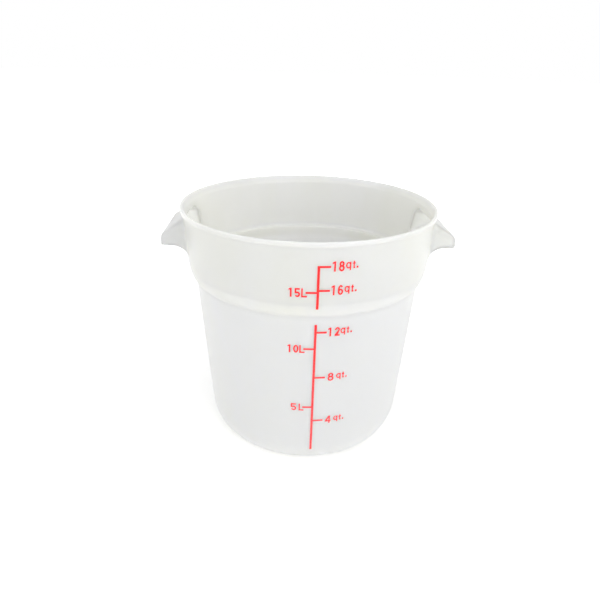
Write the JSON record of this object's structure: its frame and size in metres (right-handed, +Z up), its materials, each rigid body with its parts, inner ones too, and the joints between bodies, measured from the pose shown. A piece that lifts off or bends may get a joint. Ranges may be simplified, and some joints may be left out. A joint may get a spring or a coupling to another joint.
{
  "type": "dough proofing container",
  "caption": "Round translucent tub with a stepped shoulder, rounded base, hollow ear handles under a thin lip and a printed volume scale.",
  "frame": {"origin": "middle of the standing ring, on the surface the tub stands on", "axes": "+Z up along the tub's axis, the handles on +X and -X, the printed scale facing -Y"},
  "size_m": [0.3624, 0.3208, 0.315],
  "materials": {
    "translucent_plastic": "translucent satin",
    "red_ink": "satin"
  },
  "bodies": {
    "root": {"tub": "translucent_plastic", "scale_line_upper": "red_ink", "scale_line_lower": "red_ink", "label_18_qt": "red_ink", "label_16_qt": "red_ink", "label_12_qt": "red_ink", "label_8_qt": "red_ink", "label_4_qt": "red_ink", "label_15_l": "red_ink", "label_10_l": "red_ink", "label_5_l": "red_ink"}
  },
  "joints": []
}
